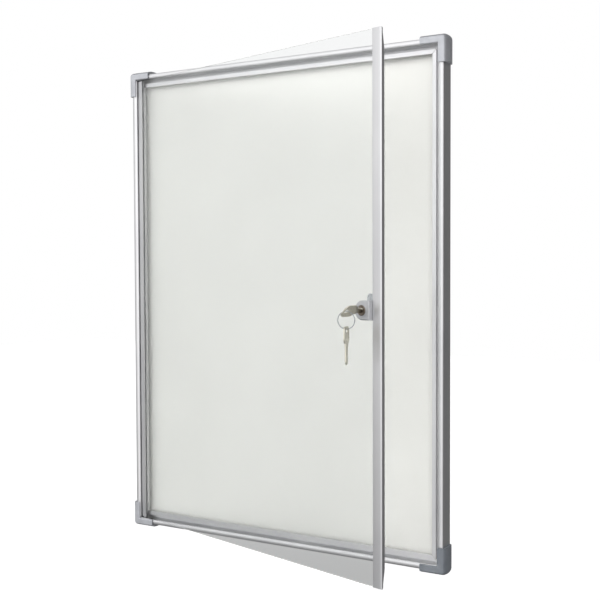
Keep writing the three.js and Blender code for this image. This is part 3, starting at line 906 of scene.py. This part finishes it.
def make_keys():
    """One key part way into the plug, and one that hangs from the ring, its blade down."""
    in_lock = Matrix.Translation((0, PLUG_FRONT + BLADE_INSIDE - BLADE_LENGTH, 0))
    make_key("door_key_stamped", "door_key", lock_place @ key_roll @ in_lock @ blade_forward)
    ring_axis = Vector(joint_of["spare_key_swing"]["axis"])
    wire = Vector(joint_of["spare_key_swing"]["pos_m"])
    bow_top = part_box("spare_key")[1].z
    level = bow_top - SHOULDER_LENGTH - BOW_LENGTH
    facing = frame_at((wire.x, wire.y, level), (-ring_axis.y, ring_axis.x, 0))
    blade_down = Matrix.Rotation(math.pi / 2, 4, "Y")
    make_key("spare_key_stamped", "spare_key", facing @ blade_forward @ blade_down)


def make_ring():
    """Spring wire wound twice, each turn flat against the other, with its two ends on top."""
    swing = joint_of["ring_swing"]
    axis = Vector(swing["axis"])
    facing = frame_at(swing["pos_m"], (-axis.y, axis.x, 0))
    curve = bpy.data.curves.new("split_ring_wire", "CURVE")
    curve.dimensions = "3D"
    curve.bevel_depth = RING_WIRE
    curve.bevel_resolution = 3
    curve.use_fill_caps = True
    spline = curve.splines.new("POLY")
    count = RING_TURNS * RING_STEPS
    spline.points.add(count)
    crossing = math.radians(RING_CROSSING)
    whole = 2 * math.pi * RING_TURNS - 2 * crossing
    for i in range(count + 1):
        angle = crossing + whole * i / count
        lean = max(-1, min(1, (angle - 2 * math.pi) / crossing))
        spline.points[i].co = (
            RING_RADIUS * math.sin(angle),
            RING_WIRE * math.sin(math.pi / 2 * lean),
            RING_RADIUS * (math.cos(angle) - 1),
            1,
        )
    piece = bpy.data.objects.new("split_ring_wound", curve)
    bpy.context.scene.collection.objects.link(piece)
    select_only(piece)
    bpy.ops.object.convert(target="MESH")
    piece = bpy.context.object
    smooth(piece, WIRE_SHARP_ANGLE)
    paint(piece, ring_plate)
    move_to(piece, facing)
    stand_for(piece, "key_ring")


# Stage, light and camera


def make_floor():
    """A pale floor that gives soft light back, and that metal and the pane don't mirror."""
    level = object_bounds()[0][2] - FLOOR_DROP
    bpy.ops.object.select_all(action="DESELECT")
    bpy.ops.mesh.primitive_plane_add(size=FLOOR_SIDE, location=(0, 0, level))
    floor = bpy.context.object
    floor.name = "floor"
    material = bpy.data.materials.new("pale_floor")
    material.use_nodes = True
    tree = material.node_tree
    tree.nodes.clear()
    path = add(tree, "ShaderNodeLightPath", {})
    lit = add(tree, "ShaderNodeBsdfDiffuse", {"Color": linear("#ebebeb")})
    glow = add(tree, "ShaderNodeEmission", {"Color": linear("#ffffff"), "Strength": FLOOR_GLOW})
    shown = add(tree, "ShaderNodeAddShader", {0: lit.outputs[0], 1: glow.outputs[0]})
    giving = add(tree, "ShaderNodeBsdfDiffuse", {"Color": linear("#cdcdcd")})
    open_floor = add(tree, "ShaderNodeBsdfTransparent", {})
    mirrored = add(
        tree,
        "ShaderNodeMath",
        {0: path.outputs["Is Glossy Ray"], 1: path.outputs["Is Transmission Ray"]},
        operation="MAXIMUM",
    )
    unseen = add(
        tree,
        "ShaderNodeMixShader",
        {0: mirrored.outputs[0], 1: giving.outputs[0], 2: open_floor.outputs[0]},
    )
    mixed = add(
        tree,
        "ShaderNodeMixShader",
        {0: path.outputs["Is Camera Ray"], 1: unseen.outputs[0], 2: shown.outputs[0]},
    )
    add(tree, "ShaderNodeOutputMaterial", {"Surface": mixed.outputs[0]})
    paint(floor, material)


def light_the_world():
    """Soft light from above and in front, and a little on the back. Metal mirrors a room that is
    dim behind and below. Through the pane there is a pale backdrop that darkens downwards."""
    world = bpy.data.worlds.new("studio")
    world.use_nodes = True
    bpy.context.scene.world = world
    tree = world.node_tree
    tree.nodes.clear()
    path = add(tree, "ShaderNodeLightPath", {})
    direction = add(tree, "ShaderNodeTexCoord", {}).outputs["Generated"]
    parts = add(tree, "ShaderNodeSeparateXYZ", {0: direction})
    room_front = add(
        tree,
        "ShaderNodeMapRange",
        {
            "Value": parts.outputs["Y"],
            "From Min": 0.5,
            "From Max": -0.85,
            "To Min": ROOM_BACK,
            "To Max": ROOM_FRONT,
        },
        interpolation_type="SMOOTHSTEP",
    )
    room_height = add(
        tree,
        "ShaderNodeMapRange",
        {
            "Value": parts.outputs["Z"],
            "From Min": -0.45,
            "From Max": 0.34,
            "To Min": ROOM_LOW_SHARE,
            "To Max": ROOM_HIGH_SHARE,
        },
        interpolation_type="SMOOTHSTEP",
    )
    room_lit = add(
        tree,
        "ShaderNodeMath",
        {0: room_front.outputs[0], 1: room_height.outputs[0]},
        operation="MULTIPLY",
    )
    window = add(
        tree,
        "ShaderNodeMapRange",
        {"Value": parts.outputs["Y"], "From Min": -0.7, "From Max": -1.0, "To Max": WINDOW},
        interpolation_type="SMOOTHSTEP",
    )
    brightened = add(
        tree, "ShaderNodeMath", {0: room_lit.outputs[0], 1: window.outputs[0]}, operation="ADD"
    )
    room = add(
        tree, "ShaderNodeMath", {0: brightened.outputs[0], 1: ROOM_LEAST}, operation="MAXIMUM"
    )
    soft_front = add(
        tree,
        "ShaderNodeMapRange",
        {
            "Value": parts.outputs["Y"],
            "From Min": -0.28,
            "From Max": -1.0,
            "To Min": SOFT_SIDE_SHARE,
            "To Max": 1.0,
        },
        interpolation_type="SMOOTHSTEP",
    )
    soft_height = add(
        tree,
        "ShaderNodeMapRange",
        {
            "Value": parts.outputs["Z"],
            "From Min": 0.12,
            "From Max": 0.47,
            "To Min": SOFT_LOW,
            "To Max": SOFT_HIGH,
        },
        interpolation_type="SMOOTHSTEP",
    )
    soft_lit = add(
        tree,
        "ShaderNodeMath",
        {0: soft_front.outputs[0], 1: soft_height.outputs[0]},
        operation="MULTIPLY",
    )
    rear_fill = add(
        tree,
        "ShaderNodeMapRange",
        {"Value": parts.outputs["Y"], "From Min": 0.75, "From Max": 1.0, "To Max": REAR_FILL},
        interpolation_type="SMOOTHSTEP",
    )
    soft = add(
        tree, "ShaderNodeMath", {0: soft_lit.outputs[0], 1: rear_fill.outputs[0]}, operation="ADD"
    )
    through_pane = add(
        tree, "ShaderNodeMath", {0: soft.outputs[0], 1: PANE_GAIN}, operation="MULTIPLY"
    )
    backdrop = add(
        tree,
        "ShaderNodeMapRange",
        {
            "Value": parts.outputs["Z"],
            "From Min": -0.3,
            "From Max": 0.1,
            "To Min": BACKDROP_LOW,
            "To Max": BACKDROP_HIGH,
        },
    )
    # A ray that reaches the world counts one more than its bounces
    turned = add(
        tree,
        "ShaderNodeMath",
        {0: path.outputs["Ray Depth"], 1: path.outputs["Transmission Depth"]},
        operation="SUBTRACT",
    )
    was_mirrored = add(
        tree, "ShaderNodeMath", {0: turned.outputs[0], 1: 1.5}, operation="GREATER_THAN"
    )
    was_diffuse = add(
        tree, "ShaderNodeMath", {0: path.outputs["Diffuse Depth"], 1: 0.5}, operation="GREATER_THAN"
    )
    behind = add(
        tree,
        "ShaderNodeMix",
        {0: was_mirrored.outputs[0], 2: backdrop.outputs[0], 3: room.outputs[0]},
    )
    behind_pane = add(
        tree,
        "ShaderNodeMix",
        {0: was_diffuse.outputs[0], 2: behind.outputs[0], 3: through_pane.outputs[0]},
    )
    in_front = add(
        tree,
        "ShaderNodeMix",
        {0: path.outputs["Is Glossy Ray"], 2: soft.outputs[0], 3: room.outputs[0]},
    )
    reaching = add(
        tree,
        "ShaderNodeMix",
        {0: path.outputs["Is Transmission Ray"], 2: in_front.outputs[0], 3: behind_pane.outputs[0]},
    )
    level = add(
        tree,
        "ShaderNodeMix",
        {0: path.outputs["Is Camera Ray"], 2: reaching.outputs[0], 3: 1.0},
    )
    light = add(
        tree,
        "ShaderNodeBackground",
        {"Color": linear("#ffffff"), "Strength": level.outputs[0]},
    )
    add(tree, "ShaderNodeOutputWorld", {"Surface": light.outputs[0]})


def set_camera():
    """The photograph's view, from the right of the board and a little above its middle."""
    data = bpy.data.cameras.new("camera")
    data.sensor_width = SENSOR
    data.lens = SENSOR * FOCAL_PIXELS / IMAGE_SIDE
    camera = bpy.data.objects.new("camera", data)
    bpy.context.scene.collection.objects.link(camera)
    turn = Matrix.Rotation(math.radians(CAMERA_YAW), 4, "Z")
    tilt = Matrix.Rotation(math.radians(90 + CAMERA_PITCH), 4, "X")
    roll = Matrix.Rotation(math.radians(CAMERA_ROLL), 4, "Z")
    camera.matrix_world = Matrix.Translation(CAMERA_PLACE) @ turn @ tilt @ roll
    bpy.context.scene.camera = camera
    bpy.context.scene.view_settings.view_transform = "Standard"


set_camera()
finish_case()
finish_door()
finish_lock()
make_keys()
make_ring()
make_floor()
light_the_world()
